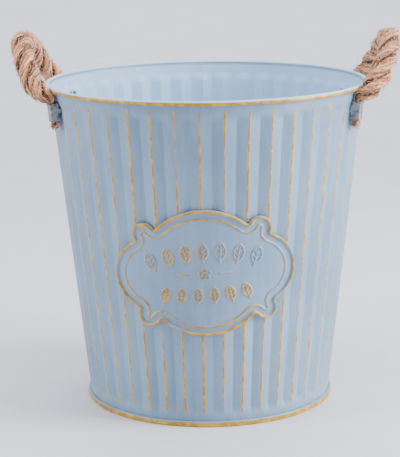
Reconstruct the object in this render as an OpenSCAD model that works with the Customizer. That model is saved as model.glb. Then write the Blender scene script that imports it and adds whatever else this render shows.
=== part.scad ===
// Florist bucket: a tapered, pleated sheet-metal bucket with a rolled rim, a seamed foot,
// a curved label plate and two thick rope handles held by small steel clips.
// Millimetres, +Z up. Origin: centre of the foot, on the surface that the bucket stands on.
// The label plate faces -Y, and the rope handles are on the left (-X) and the right (+X).

/* [Bucket] */
// Height to the top of the rolled rim
bucket_h = 280; // [200:1:340]
// Diameter over the rolled rim
rim_d = 280; // [220:1:340]
// Diameter over the seamed foot
foot_d = 218; // [170:1:270]
// Thickness of the sheet
sheet_t = 0.5; // [0.4:0.05:0.8]

/* [Ribs] */
// Number of pleats round the wall
rib_count = 42; // [30:1:54]
// Depth from a pleat's crest to its valley
rib_depth = 2.4; // [1.2:0.1:3.2]
// Plain band under the rim
plain_top = 10; // [8:0.5:16]
// Plain band above the floor
plain_bottom = 9; // [8:0.5:16]
// Height over which a pleat fades into a plain band
rib_fade = 4; // [2:0.5:8]
// Turn of the first crest from the plate's centre line, in degrees
rib_turn = -1; // [-4:0.5:4]

/* [Rim and foot] */
// Diameter of the wire inside the rolled rim
wire_d = 2.9; // [2:0.1:3.6]
// Height of the seamed foot
foot_h = 5; // [4:0.5:8]
// How far the seamed foot stands proud of the wall
foot_proud = 2.7; // [2:0.1:3.5]
// Height of the bucket's floor above the surface it stands on
floor_lift = 3; // [1.5:0.5:8]

/* [Label plate] */
// Radius of the plate's top and bottom arcs, half of its height
plate_r = 54.5; // [44:0.5:62]
// Distance of the side arcs' centres from the plate's centre
plate_side_x = 40.7; // [34:0.1:46]
// Radius of the side arcs
plate_side_r = 32.9; // [26:0.1:38]
// Radius of the four corner lobes
lobe_r = 9.8; // [7:0.1:12]
// Height of the plate's centre above the floor
plate_z = 136; // [100:1:170]
// Tilt of the plate, right side up, in degrees
plate_tilt = 3.6; // [-6:0.1:6]
// Thickness of the plate
plate_t = 0.8; // [0.5:0.1:1.5]
// Height of the border bead above the plate's back
border_rise = 3; // [2:0.1:4]
// Width of the border bead
border_w = 2.6; // [1.5:0.1:4]
// Distance from the plate's edge to the inner line
line_inset = 7; // [5:0.5:9]
// Width of the inner line
line_w = 1.6; // [1:0.1:2.5]
// Height of the inner line and the motif above the plate's back
motif_rise = 1.8; // [1.2:0.1:2.6]

/* [Rope handles] */
// Diameter of the rope
rope_d = 16.5; // [12:0.5:20]
// Diameter of the rope where a clip squeezes it
squeezed_d = 6.4; // [5:0.2:8]
// Room between the wall's crests and a squeezed rope end
rope_clear = 0.7; // [0.6:0.1:3]
// Angle from a handle's middle to each of its clips
clip_angle = 23; // [16:0.5:28]
// Height of a clip
clip_h = 15; // [11:0.5:20]
// Thickness of a clip's strap
clip_t = 0.8; // [0.6:0.1:1.2]
// Height of a clip's tabs
tab_h = 5; // [3:0.5:7]
// Drop from the middle of the rim's wire to the place where the rope bends
bend_drop = 6; // [6:0.5:14]
// Rope left free between a clip's top and the place where the rope bends
free_rope = 4; // [4:0.5:10]
// Length of the frayed end under a clip
tuft_l = 9; // [4:0.5:14]

/* [Hidden] */

PAINT = "lightsteelblue";
BARE_STEEL = "silver";
ROPE = "burlywood";

gap = 0.1;                                    // clearance between pieces that lie together
rope_standoff = rope_clear + squeezed_d / 2;  // from the crests to the middle of a squeezed rope end
curl_in = wire_d / 2 + 0.15;                  // inside radius of the rolled rim
curl_out = curl_in + sheet_t;                 // outside radius of the rolled rim
curl_end = -140;                              // the rolled edge stops here, under the wire
curl_steps = 10;                              // facets round the rolled rim
wire_z = bucket_h - curl_out;                 // height of the wire's centre
wall_top_r = rim_d / 2 - curl_in - curl_out;  // wall's outer radius beside the wire
wall_foot_r = foot_d / 2 - foot_proud;        // wall's outer radius at the floor
wire_r = wall_top_r + curl_in;                // radius of the wire's ring
wall_lean = atan((wall_top_r - wall_foot_r) / wire_z);

// Outer radius of the wall over the pleats' crests at height z
function wall_r(z) = wall_foot_r + (wall_top_r - wall_foot_r) * z / wire_z;

// ---- Wall -------------------------------------------------------------------------------
wall_edge_z = 1;                              // the wall's lower edge stands in the foot seam
rib_levels = [wall_edge_z, plain_bottom, plain_bottom + rib_fade,
              bucket_h - plain_top - rib_fade, bucket_h - plain_top];
rib_share = [0, 0, 1, 1, 0];                  // share of the pleats' depth at each level
columns = 2 * rib_count;                      // one column of points on each crest and valley

function column_angle(j) = -90 + rib_turn + j * 360 / columns;
function curl_angle(i) = 180 + (curl_end - 180) * i / curl_steps;

// The sheet's section at one column, as [radius, height] points: up the outside, round the
// rolled rim and down the inside
function sheet_section(valley) = concat(
    [for (i = [0 : 4]) [wall_r(rib_levels[i]) - rib_depth * rib_share[i] * valley, rib_levels[i]]],
    [for (i = [0 : curl_steps]) [wire_r + curl_in * cos(curl_angle(i)),
                                 wire_z + curl_in * sin(curl_angle(i))]],
    [for (i = [curl_steps : -1 : 0]) [wire_r + curl_out * cos(curl_angle(i)),
                                      wire_z + curl_out * sin(curl_angle(i))]],
    [for (i = [4 : -1 : 0]) [wall_r(rib_levels[i]) - sheet_t - rib_depth * rib_share[i] * valley,
                             rib_levels[i]]]);

module pleated_sheet() {
    points_each = len(sheet_section(0));
    points = [for (j = [0 : columns - 1])
                  for (p = sheet_section(j % 2))
                      [p[0] * cos(column_angle(j)), p[0] * sin(column_angle(j)), p[1]]];
    faces = [for (j = [0 : columns - 1])
                 for (i = [0 : points_each - 1])
                     let (k = (j + 1) % columns, n = (i + 1) % points_each)
                         [j * points_each + i, j * points_each + n,
                          k * points_each + n, k * points_each + i]];
    polyhedron(points = points, faces = faces, convexity = 6);
}

module wall() {
    color(PAINT)
        difference() {
            pleated_sheet();
            for (side = [-1, 1])
                for (end = [-1, 1])
                    at_clip(side, end)
                        tab_slots();
        }
}

module rim_wire() {
    color(BARE_STEEL)
        translate([0, 0, wire_z])
            rotate_extrude($fn = 96)
                translate([wire_r, 0])
                    circle(d = wire_d, $fn = 24);
}

// ---- Base -------------------------------------------------------------------------------
channel_floor = wall_edge_z - gap;            // thickness under the wall's lower edge
foot_round = 1.1;                             // rounding of the foot's outer corners

module base_pan() {
    seam_r = foot_d / 2;
    in_r = wall_foot_r - sheet_t - 2 * gap;
    color(PAINT)
        rotate_extrude($fn = 96)
            union() {
                translate([0, floor_lift])
                    square([in_r, sheet_t]);
                polygon([[in_r - 2 * sheet_t, 0], [in_r, 0], [in_r, foot_h], [in_r - 2 * sheet_t, foot_h]]);
                translate([in_r - sheet_t, 0])
                    square([seam_r - foot_round - in_r + sheet_t, channel_floor]);
                difference() {
                    foot_bead(seam_r);
                    polygon([[0, channel_floor], [wall_r(channel_floor) + gap, channel_floor],
                             [wall_r(foot_h) + gap, foot_h + gap], [0, foot_h + gap]]);
                }
            }
}

// Section of the seamed foot, with its two outer corners rounded
module foot_bead(seam_r) {
    bead_w = foot_proud + sheet_t;
    translate([seam_r - bead_w, 0])
        square([bead_w - foot_round, foot_h]);
    translate([seam_r - bead_w, foot_round])
        square([bead_w, foot_h - 2 * foot_round]);
    for (z = [foot_round, foot_h - foot_round])
        translate([seam_r - foot_round, z])
            circle(r = foot_round, $fn = 24);
}

// ---- Label plate ------------------------------------------------------------------------
lobe_x = 47.2 / 73.6 * (plate_side_x + plate_side_r);
lobe_y = 35 / 54.5 * plate_r;
plate_back = gap;                             // the plate's back clears the pleats' crests

// The plate's outline as seen from the front, drawn in by a distance
module plate_outline(inset = 0) {
    circle(r = plate_r - inset, $fn = 96);
    for (side = [-1, 1]) {
        translate([side * plate_side_x, 0])
            circle(r = plate_side_r - inset, $fn = 96);
        for (up = [-1, 1])
            translate([side * lobe_x, up * lobe_y])
                circle(r = lobe_r - inset, $fn = 48);
    }
}

// What lies between two distances out from the pleats' crests
module wall_layer(near, far) {
    rotate_extrude($fn = 96)
        polygon([[wall_r(0) + near, 0], [wall_r(0) + far, 0],
                 [wall_r(bucket_h) + far, bucket_h], [wall_r(bucket_h) + near, bucket_h]]);
}

// Presses a flat drawing onto the front of the wall, from one distance out to another
module on_wall(near, far) {
    intersection() {
        wall_layer(near, far);
        translate([0, 0, plate_z])
            rotate([0, -plate_tilt, 0])
                rotate([90, 0, 0])
                    linear_extrude(height = rim_d / 2)
                        children();
    }
}

module leaf(length, width) {
    // two equal arcs that meet in points at both ends
    arc_r = (length * length + width * width) / (4 * width);
    intersection() {
        translate([0, arc_r - width / 2])
            circle(r = arc_r, $fn = 48);
        translate([0, width / 2 - arc_r])
            circle(r = arc_r, $fn = 48);
    }
}

// Points along an arch: half_span wide each way, rising by sag in the middle
function arch(u, half_span, sag) = [u * half_span, sag * (1 - u * u)];

upper_steps = [-1, -0.67, -0.33, 0, 0.33, 0.67, 1];
lower_steps = [-1, -0.6, -0.2, 0.2, 0.6, 1];
petals = 5;

module motif() {
    for (u = upper_steps)
        translate(arch(u, 43, 7) + [0, 12])
            rotate(90 - 22 * u)
                leaf(15, 9);
    for (u = lower_steps)
        translate(arch(u, 33, -1) + [0, -17])
            rotate(90 + 16 * u)
                leaf(13, 8);
    for (i = [0 : petals - 1])
        rotate(90 + i * 360 / petals)
            translate([3.4, 0])
                circle(r = 2.1, $fn = 24);
    for (side = [-1, 1])
        translate([side * 17 - 5, -0.8])
            square([10, 1.6]);
}

module label_plate() {
    color(PAINT)
        union() {
            on_wall(plate_back, plate_back + plate_t)
                plate_outline();
            on_wall(plate_back, plate_back + border_rise)
                difference() {
                    plate_outline();
                    plate_outline(border_w);
                }
            on_wall(plate_back, plate_back + motif_rise)
                difference() {
                    plate_outline(line_inset);
                    plate_outline(line_inset + line_w);
                }
            on_wall(plate_back, plate_back + motif_rise)
                motif();
        }
}

// ---- Clips ------------------------------------------------------------------------------
bend_z = wire_z - bend_drop;                                 // height at which the rope bends
bend_r = wall_r(bend_z) + rope_standoff / cos(wall_lean);    // its distance from the bucket's axis
clip_z = bend_z - (free_rope + clip_h / 2) * cos(wall_lean); // height of a clip's middle
clip_w = squeezed_d + 2 * gap + 2 * clip_t;                  // outside width of a clip
clip_d = rope_standoff + squeezed_d / 2 + gap + clip_t;      // how far a clip stands out
tab_reach = rib_depth + sheet_t + 2 * gap;                   // from the crests to the folded tabs
tab_fold = 2.6;                                              // length of a folded tab
cheek_y = clip_w / 2 - clip_t;                               // inside face of a clip's cheek

// A clip's own frame: X out from the wall, Y round it, Z up along it.
// side is -1 for the left handle and 1 for the right, end is -1 for the front clip and 1 for the rear.
module at_clip(side, end) {
    middle = side > 0 ? 0 : 180;
    rotate([0, 0, middle + side * end * clip_angle])
        translate([wall_r(clip_z), 0, clip_z])
            rotate([0, wall_lean, 0])
                children();
}

module tab_slots() {
    for (y = [-1, 1])
        translate([-tab_reach - 1, y * (cheek_y + clip_t / 2) - clip_t / 2 - gap, -tab_h / 2 - gap])
            cube([tab_reach + 2, clip_t + 2 * gap, tab_h + 2 * gap]);
}

module clip_strap() {
    corner = 1.6;
    translate([0, 0, -clip_h / 2])
        linear_extrude(height = clip_h)
            difference() {
                union() {
                    translate([gap, -clip_w / 2])
                        square([clip_d - gap - corner, clip_w]);
                    translate([clip_d - 2 * corner, -clip_w / 2 + corner])
                        square([2 * corner, clip_w - 2 * corner]);
                    for (y = [-1, 1])
                        translate([clip_d - corner, y * (clip_w / 2 - corner)])
                            circle(r = corner, $fn = 24);
                }
                translate([-1, -cheek_y])
                    square([clip_d - clip_t + 1, 2 * cheek_y]);
            }
}

// One tab: it passes through the wall and is folded flat inside
module clip_tab() {
    translate([-tab_reach - clip_t, cheek_y, -tab_h / 2])
        cube([tab_reach + clip_t + 2 * gap, clip_t, tab_h]);
    translate([-tab_reach - clip_t, cheek_y - tab_fold, -tab_h / 2])
        cube([clip_t, tab_fold + clip_t, tab_h]);
}

module rope_clip(side, end) {
    color(BARE_STEEL)
        at_clip(side, end)
            union() {
                clip_strap();
                clip_tab();
                mirror([0, 1, 0])
                    clip_tab();
            }
}

module left_front_clip() {
    rope_clip(-1, -1);
}

module left_rear_clip() {
    rope_clip(-1, 1);
}

module right_front_clip() {
    rope_clip(1, -1);
}

module right_rear_clip() {
    rope_clip(1, 1);
}

// ---- Rope ends, held in the clips -------------------------------------------------------
end_clear = 5;      // the end stops this far short of the place where the rope bends
tuft_r = squeezed_d / 2 + rope_clear - 0.3;

module rope_end(side, end) {
    top = clip_h / 2 + free_rope - end_clear;
    color(ROPE)
        at_clip(side, end)
            translate([rope_standoff, 0, 0])
                union() {
                    translate([0, 0, -clip_h / 2 - tuft_l / 2])
                        cylinder(d = squeezed_d, h = top + clip_h / 2 + tuft_l / 2, $fn = 32);
                    translate([0, 0, -clip_h / 2 - tuft_l])
                        cylinder(r1 = tuft_r - 1.2, r2 = tuft_r, h = tuft_l - 3, $fn = 32);
                    translate([0, 0, -clip_h / 2 - 3])
                        cylinder(r1 = tuft_r, r2 = squeezed_d / 2, h = 2, $fn = 32);
                }
}

module left_front_rope_end() {
    rope_end(-1, -1);
}

module left_rear_rope_end() {
    rope_end(-1, 1);
}

module right_front_rope_end() {
    rope_end(1, -1);
}

module right_rear_rope_end() {
    rope_end(1, 1);
}

// ---- Rope loops, the moving part of the handles -----------------------------------------
bend_x = bend_r * cos(clip_angle);
bend_y = bend_r * sin(clip_angle);
rope_sides = 10;

// Half of a loop's route, from the place where the rope bends to the middle of the loop:
// [share of the reach out from the bend, share of the bend's distance from the middle,
//  up from the bend]
leg_route = [[0, 1, 0], [0.49, 0.995, 2.9], [1.03, 0.965, 6.3], [1.46, 0.91, 10.8],
             [1.82, 0.82, 17.2], [2.16, 0.71, 25], [2.47, 0.56, 32], [2.69, 0.38, 37.8],
             [2.8, 0.19, 41], [2.83, 0, 42]];
leg_last = len(leg_route) - 1;
reach = curl_out + rope_d / 2;    // room that the rope needs beside the rolled rim

// Whole loop of the right handle, from the front clip round to the rear one
loop_route = concat(
    [for (p = leg_route) [bend_x + reach * p[0], -bend_y * p[1], bend_z + p[2]]],
    [for (i = [leg_last - 1 : -1 : 0]) let (p = leg_route[i])
        [bend_x + reach * p[0], bend_y * p[1], bend_z + p[2]]]);

// Rope radius, as shares of the full radius, where it grows out of the squeezed end:
// [distance along the rope from the bend, share from the squeezed radius to the full one]
growth = [[0, 0], [3, 0], [7, 0.25], [12, 0.65], [19, 1]];

function smooth_point(a, b, c, d, t) =
    0.5 * (2 * b + (c - a) * t + (2 * a - 5 * b + 4 * c - d) * t * t
           + (3 * b - a - 3 * c + d) * t * t * t);

// The route with one more point on the smooth curve between each two
function smoothed(route) = let (n = len(route) - 1) [
    for (i = [0 : 2 * n])
        let (k = floor(i / 2))
            i % 2 == 0 ? route[k]
                       : smooth_point(route[max(k - 1, 0)], route[k], route[k + 1],
                                      route[min(k + 2, n)], 0.5)];

function travelled(path, i) = i == 0 ? 0 : travelled(path, i - 1) + norm(path[i] - path[i - 1]);
function unit(v) = v / norm(v);
function rope_radius(s) = squeezed_d / 2 + (rope_d - squeezed_d) / 2 * lookup(s, growth);

module rope_loop(side) {
    path = smoothed(loop_route);
    last = len(path) - 1;
    total = travelled(path, last);
    loop_normal = unit(cross(path[floor(last / 2)] - path[0], [0, 1, 0]));
    directions = [for (i = [0 : last]) unit(path[min(i + 1, last)] - path[max(i - 1, 0)])];
    cap = [[-0.99, 0.1], [-0.87, 0.5], [-0.5, 0.87]];
    end_r = squeezed_d / 2;
    // Every ring as [centre, direction, radius], with a round cap at each end
    rings = concat(
        [for (c = cap) [path[0] + directions[0] * end_r * c[0], directions[0], end_r * c[1]]],
        [for (i = [0 : last])
            let (s = travelled(path, i))
                [path[i], directions[i], rope_radius(min(s, total - s))]],
        [for (i = [len(cap) - 1 : -1 : 0])
            [path[last] - directions[last] * end_r * cap[i][0], directions[last],
             end_r * cap[i][1]]]);
    count = len(rings);
    points = [for (r = rings)
                  let (across = unit(cross(r[1], loop_normal)), over = cross(across, r[1]))
                      for (a = [0 : rope_sides - 1])
                          r[0] + r[2] * (across * cos(a * 360 / rope_sides)
                                         + over * sin(a * 360 / rope_sides))];
    sides = [for (i = [0 : count - 2])
                 for (a = [0 : rope_sides - 1])
                     let (b = (a + 1) % rope_sides)
                         [i * rope_sides + a, i * rope_sides + b,
                          (i + 1) * rope_sides + b, (i + 1) * rope_sides + a]];
    start_face = [for (a = [rope_sides - 1 : -1 : 0]) a];
    end_face = [for (a = [0 : rope_sides - 1]) (count - 1) * rope_sides + a];
    color(ROPE)
        rotate([0, 0, side > 0 ? 0 : 180])
            polyhedron(points = points, faces = concat([start_face], sides, [end_face]), convexity = 6);
}

module left_rope_loop() {
    rope_loop(-1);
}

module right_rope_loop() {
    rope_loop(1);
}

wall();
rim_wire();
base_pan();
label_plate();
left_front_clip();
left_rear_clip();
right_front_clip();
right_rear_clip();
left_front_rope_end();
left_rear_rope_end();
right_front_rope_end();
right_rear_rope_end();
left_rope_loop();
right_rope_loop();
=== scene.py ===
# %% [markdown]
# # Florist bucket
# A tapered metal flower bucket: a pleated wall rolled over a wire at the top, a seamed foot, a stamped
# label plate and two thick rope handles in small steel clips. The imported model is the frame, and every
# piece made here sits exactly where the frame says, in metres.

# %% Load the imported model
import math
from functools import partial

import bmesh
import bpy
import numpy as np
from mathutils import Matrix, Vector, kdtree


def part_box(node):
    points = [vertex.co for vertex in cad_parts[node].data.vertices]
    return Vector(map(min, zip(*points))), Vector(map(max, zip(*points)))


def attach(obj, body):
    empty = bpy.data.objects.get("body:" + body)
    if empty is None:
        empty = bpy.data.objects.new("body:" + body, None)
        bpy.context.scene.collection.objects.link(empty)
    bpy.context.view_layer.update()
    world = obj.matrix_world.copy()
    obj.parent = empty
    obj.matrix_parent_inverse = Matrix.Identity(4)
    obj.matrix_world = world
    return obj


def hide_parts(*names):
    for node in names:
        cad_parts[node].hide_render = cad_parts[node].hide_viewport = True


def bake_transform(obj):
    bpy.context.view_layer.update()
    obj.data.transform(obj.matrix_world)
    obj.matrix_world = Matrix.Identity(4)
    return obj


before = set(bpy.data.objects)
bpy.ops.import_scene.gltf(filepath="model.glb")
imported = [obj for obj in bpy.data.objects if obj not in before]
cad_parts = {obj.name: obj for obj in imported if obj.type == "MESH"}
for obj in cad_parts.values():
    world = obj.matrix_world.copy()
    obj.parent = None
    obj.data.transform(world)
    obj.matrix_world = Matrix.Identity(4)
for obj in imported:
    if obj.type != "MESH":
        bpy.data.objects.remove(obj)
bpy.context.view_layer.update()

MM = 0.001

# %% [markdown]
# ## Camera
# A view from a little above, the way the bucket is seen on a table. The lens is long, so the sides of the
# bucket stay nearly straight. The camera's turn is put together from three plain turns: heading, pitch, roll.

# %% Make the camera
CAMERA_PLACE = (0.0373, -1.4250, 0.4626)
CAMERA_HEADING = math.radians(1.78)
CAMERA_PITCH = math.radians(12.48)
CAMERA_ROLL = math.radians(-0.73)

camera = bpy.data.objects.new("camera", bpy.data.cameras.new("camera"))
bpy.context.scene.collection.objects.link(camera)
camera.data.lens = 130.03
camera.data.sensor_width = 36
camera.matrix_world = (Matrix.Translation(CAMERA_PLACE)
                       @ Matrix.Rotation(CAMERA_HEADING, 4, "Z")
                       @ Matrix.Rotation(math.pi / 2 - CAMERA_PITCH, 4, "X")
                       @ Matrix.Rotation(CAMERA_ROLL, 4, "Z"))
bpy.context.scene.camera = camera
print("camera at", CAMERA_PLACE, "with a", round(camera.data.lens), "mm lens")

# %% [markdown]
# ## Sizes that several pieces share
# The wall's crests lie on a cone. The imported wire's ring gives the rim's height and radius, and the
# imported base pan gives the foot.

# %% Measure the frame
wire_low, wire_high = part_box("rim_wire")
foot_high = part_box("base_pan")[1]

WIRE_Z = (wire_low.z + wire_high.z) / 2
WIRE_THICK = wire_high.z - wire_low.z
WIRE_RING = wire_high.y - WIRE_THICK / 2
SHEET = 0.5 * MM
CURL_IN = WIRE_THICK / 2 + 0.15 * MM
CURL_OUT = CURL_IN + SHEET
WALL_TOP_R = WIRE_RING - CURL_IN
FOOT_R = foot_high.y
FOOT_PROUD = 2.7 * MM
WALL_FOOT_R = FOOT_R - FOOT_PROUD
WALL_LEAN = math.atan((WALL_TOP_R - WALL_FOOT_R) / WIRE_Z)


def crest_radius(z):
    """Radius of the cone through the pleats' crests at height z."""
    return WALL_FOOT_R + (WALL_TOP_R - WALL_FOOT_R) * z / WIRE_Z


print("wall radius", round(WALL_FOOT_R / MM, 2), "to", round(WALL_TOP_R / MM, 2), "mm, leaning",
      round(math.degrees(WALL_LEAN), 2), "degrees")

# %% [markdown]
# ## Helpers for node trees
# Both kinds of tree, for shapes and for finishes, are written with the same few helpers: one puts a node
# in, one fills or links its inputs, and one does a sum. Outputs can also be added and multiplied with the
# plain signs, which put the same Math nodes in. That keeps the trees short enough to read.

# %% Helper for sums
class Output:
    """A node's output. Adding, multiplying and so on put the Math node for it in the tree."""

    def __init__(self, tree, socket):
        self.tree, self.socket = tree, socket

    def __add__(self, other):
        return calc(self.tree, "ADD", self, other)

    def __sub__(self, other):
        return calc(self.tree, "SUBTRACT", self, other)

    def __rsub__(self, other):
        return calc(self.tree, "SUBTRACT", other, self)

    def __mul__(self, other):
        return calc(self.tree, "MULTIPLY", self, other)

    def __truediv__(self, other):
        return calc(self.tree, "DIVIDE", self, other)

    def then(self, operation, *others):
        """This output put through another Math node."""
        return calc(self.tree, operation, self, *others)

# %% [markdown]
# The helpers that put nodes in take plain numbers, outputs, or a mix of both.

# %% Node helpers
def fill(tree, node, values):
    """Fills a node's inputs with values, or links them to other nodes."""
    for key, value in values.items():
        if isinstance(value, Output):
            value = value.socket
        if isinstance(value, bpy.types.NodeSocket):
            tree.links.new(value, node.inputs[key])
        else:
            node.inputs[key].default_value = value


def put(tree, kind, values=None, **settings):
    """Adds a node, sets its settings, and fills its inputs."""
    made = tree.nodes.new(kind)
    for key, value in settings.items():
        setattr(made, key, value)
    fill(tree, made, values or {})
    return made


def calc(tree, operation, *values):
    """One Math node; each value is a plain number or another node's output."""
    made = put(tree, "ShaderNodeMath", dict(enumerate(values)), operation=operation)
    return Output(tree, made.outputs[0])


def ramp(tree, value, from_low, from_high, to_low=0.0, to_high=1.0, smooth=True):
    """Turns a range of values into another, held at both ends."""
    made = put(tree, "ShaderNodeMapRange",
               {"Value": value, "From Min": from_low, "From Max": from_high,
                "To Min": to_low, "To Max": to_high},
               interpolation_type="SMOOTHSTEP" if smooth else "LINEAR")
    return Output(tree, made.outputs["Result"])

# %% [markdown]
# Shape trees all start and end the same way, and each is run once on an object. Its result is kept as a
# plain mesh, so nothing is left to work out later.

# %% Shape tree helpers
def start_shape_tree(name, inputs):
    """A Geometry Nodes tree with named inputs; returns the tree and what it is given."""
    tree = bpy.data.node_groups.new(name, "GeometryNodeTree")
    for label, kind in {"Geometry": "Geometry", **inputs}.items():
        tree.interface.new_socket(name=label, in_out="INPUT", socket_type="NodeSocket" + kind)
    tree.interface.new_socket(name="Geometry", in_out="OUTPUT", socket_type="NodeSocketGeometry")
    entry = tree.nodes.new("NodeGroupInput")
    return tree, {label: Output(tree, entry.outputs[label]) for label in ("Geometry", *inputs)}


def end_shape_tree(tree, geometry, material):
    """Every shape tree ends the same way: real mesh, one finish."""
    real = put(tree, "GeometryNodeRealizeInstances", {"Geometry": geometry})
    finish = put(tree, "GeometryNodeSetMaterial", {"Geometry": real.outputs[0], "Material": material})
    put(tree, "NodeGroupOutput", {0: finish.outputs[0]})


def run_shape_tree(tree, source, values, name):
    """Runs a tree on an object and keeps the result as a plain mesh in a new object."""
    modifier = source.modifiers.new(tree.name, "NODES")
    modifier.node_group = tree
    for item in tree.interface.items_tree:
        if item.in_out == "INPUT" and item.name in values:
            modifier[item.identifier] = values[item.name]
    depsgraph = bpy.context.evaluated_depsgraph_get()
    mesh = bpy.data.meshes.new_from_object(source.evaluated_get(depsgraph), preserve_all_data_layers=True,
                                           depsgraph=depsgraph)
    source.modifiers.remove(modifier)
    mesh.name = name
    print(name, "has", len(mesh.vertices), "points and", len(mesh.polygons), "faces")
    return placed_in_scene(name, mesh)

# %% [markdown]
# Pieces that are simple to describe by their points are made straight from lists. Their faces nearly always
# join rows of points, so one helper counts those out.

# %% Mesh helpers
def placed_in_scene(name, data):
    """An object with this mesh, camera or light, linked to the scene."""
    made = bpy.data.objects.new(name, data)
    bpy.context.scene.collection.objects.link(made)
    return made


def new_mesh_object(name, points, faces, finish=None):
    """A smooth mesh object from lists of points and faces."""
    mesh = bpy.data.meshes.new(name)
    mesh.from_pydata([tuple(p) for p in points], [], faces)
    mesh.update()
    return smooth_object(name, mesh, finish)


def smooth_object(name, mesh, finish):
    """An object with a mesh that is shaded smooth and has its finish."""
    mesh.polygons.foreach_set("use_smooth", [True] * len(mesh.polygons))
    if finish:
        mesh.materials.append(finish)
    return placed_in_scene(name, mesh)


def quads(rows, columns, closed, first=0):
    """Faces between neighbouring rows of points; closed rows meet themselves."""
    faces = []
    for i in range(rows - 1):
        for j in range(columns if closed else columns - 1):
            a, b = (first + i * columns + k for k in (j, (j + 1) % columns))
            faces.append((a, b, b + columns, a + columns))
    return faces


def store(mesh, name, values):
    """Keeps one number or one direction for each point of a mesh, for a tree to read."""
    values = np.asarray(values, np.float32)
    if values.ndim == 1:
        mesh.attributes.new(name, "FLOAT", "POINT").data.foreach_set("value", values)
    else:
        mesh.attributes.new(name, "FLOAT_VECTOR", "POINT").data.foreach_set("vector", values.ravel())


def drop(obj):
    """Removes a helper object that isn't part of the bucket."""
    bpy.data.objects.remove(obj)

# %% [markdown]
# ## The rope's route
# Each handle is one rope. It starts under the front clip, runs up through it, bends out under the rim,
# rises over it, crosses to the other side and comes down the same way. The route's points are the ones
# the solid model uses, so the rope lies where its solid lies. A smooth curve goes through them all.

# %% Rope route
ROPE_D = 16.5 * MM
SQUEEZED_D = 6.4 * MM
STANDOFF = 3.9 * MM
CLIP_ANGLE = math.radians(23)
CLIP_H = 15 * MM
FREE_ROPE = 4 * MM
BEND_Z = WIRE_Z - 6 * MM
BEND_R = crest_radius(BEND_Z) + STANDOFF / math.cos(WALL_LEAN)
BEND_X = BEND_R * math.cos(CLIP_ANGLE)
BEND_Y = BEND_R * math.sin(CLIP_ANGLE)
CLIP_Z = BEND_Z - (FREE_ROPE + CLIP_H / 2) * math.cos(WALL_LEAN)
SIDES = {"left": -1, "right": 1}
print("the rope bends", round(BEND_Z / MM, 1), "mm up and", round(BEND_R / MM, 1), "mm from the axis")

# Share of the reach out from the bend, share of the bend's distance from the middle, mm up from the bend
REACH = CURL_OUT + ROPE_D / 2
LEG_ROUTE = [(0, 1, 0), (0.49, 0.995, 2.9), (1.03, 0.965, 6.3), (1.46, 0.91, 10.8), (1.82, 0.82, 17.2),
             (2.16, 0.71, 25), (2.47, 0.56, 32), (2.69, 0.38, 37.8), (2.8, 0.19, 41), (2.83, 0, 42)]


def clip_frame(side, end):
    """The frame of one clip: X out from the wall, Y round it, Z up along it."""
    turn = (0 if side > 0 else math.pi) + side * end * CLIP_ANGLE
    return (Matrix.Rotation(turn, 4, "Z")
            @ Matrix.Translation((crest_radius(CLIP_Z), 0, CLIP_Z))
            @ Matrix.Rotation(WALL_LEAN, 4, "Y"))

# %% [markdown]
# The curve goes through every point of the route, and is then marked off in even steps, so that the strands
# twist evenly along it.

# %% Rope line
def smooth_line(points, steps):
    """Points on the smooth curve through the given ones."""
    line = []
    last = len(points) - 1
    for i in range(last):
        a, b, c, d = (points[k] for k in (max(i - 1, 0), i, i + 1, min(i + 2, last)))
        for t in np.linspace(0, 1, steps, endpoint=False):
            line.append(0.5 * (2 * b + (c - a) * t + (2 * a - 5 * b + 4 * c - d) * t * t
                               + (3 * b - a - 3 * c + d) * t ** 3))
    return np.array(line + [points[last]])


def spaced_out(line, step):
    """The same line with points an even distance apart, and their distances along it."""
    along = np.r_[0, np.cumsum(np.linalg.norm(np.diff(line, axis=0), axis=1))]
    marks = np.linspace(0, along[-1], int(round(along[-1] / step)) + 1)
    return np.stack([np.interp(marks, along, line[:, k]) for k in range(3)], 1), marks


def rope_line(side):
    """Centreline of a handle's rope, from its front end to its rear end."""
    frames = [clip_frame(1, -1), clip_frame(1, 1)]
    held = [-CLIP_H / 2 - 6 * MM, -CLIP_H / 2, 0, CLIP_H / 2, CLIP_H / 2 + FREE_ROPE * 0.5]
    front = [np.array(frames[0] @ Vector((STANDOFF, 0, z))) for z in held]
    rear = [np.array(frames[1] @ Vector((STANDOFF, 0, z))) for z in reversed(held)]
    leg = [np.array((BEND_X + out * REACH, -BEND_Y * share, BEND_Z + up * MM))
           for out, share, up in LEG_ROUTE]
    back = [p * (1, -1, 1) for p in reversed(leg[:-1])]
    points = front + leg + back + rear
    if side < 0:
        points = [p * (-1, -1, 1) for p in points]
    return spaced_out(smooth_line(points, 12), 0.8 * MM)


for side_name, side in SIDES.items():
    line, along = rope_line(side)
    print(side_name, "rope is", round(along[-1] / MM), "mm long, with its top at",
          round(line[:, 2].max() / MM, 1), "mm")

# %% [markdown]
# ## Finishes
# The sheet was painted gold first and pale blue over it, and the blue is rubbed through wherever the metal
# stands proud. So one recipe serves wall, foot and plate: blue paint, gold paint, and a mask that says how
# far the blue is worn. Each piece brings its own mask. Colours vary a little over the surface, as brushed
# paint does, and all patterns read the piece's own coordinates, so they stay with it.

# %% Colours and patterns
BLUE_PALE = (0.245, 0.365, 0.505, 1)
BLUE_DEEP = (0.165, 0.28, 0.42, 1)
# painted light: a paler blue that stands in for the brighter light inside the bucket and for the highlight on
# the rim bead's top
BLUE_PAINTED_LIGHT = (0.46, 0.66, 0.88, 1)
GOLD_PALE = (0.66, 0.38, 0.035, 1)
GOLD_DEEP = (0.43, 0.22, 0.012, 1)


def start_finish(name):
    """A new material; returns it, its tree, its shader and the piece's own coordinates."""
    material = bpy.data.materials.new(name)
    material.use_nodes = True
    tree = material.node_tree
    shader = next(n for n in tree.nodes if n.type == "BSDF_PRINCIPLED")
    place = tree.nodes.new("ShaderNodeTexCoord").outputs["Object"]
    return material, tree, shader, place


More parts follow.
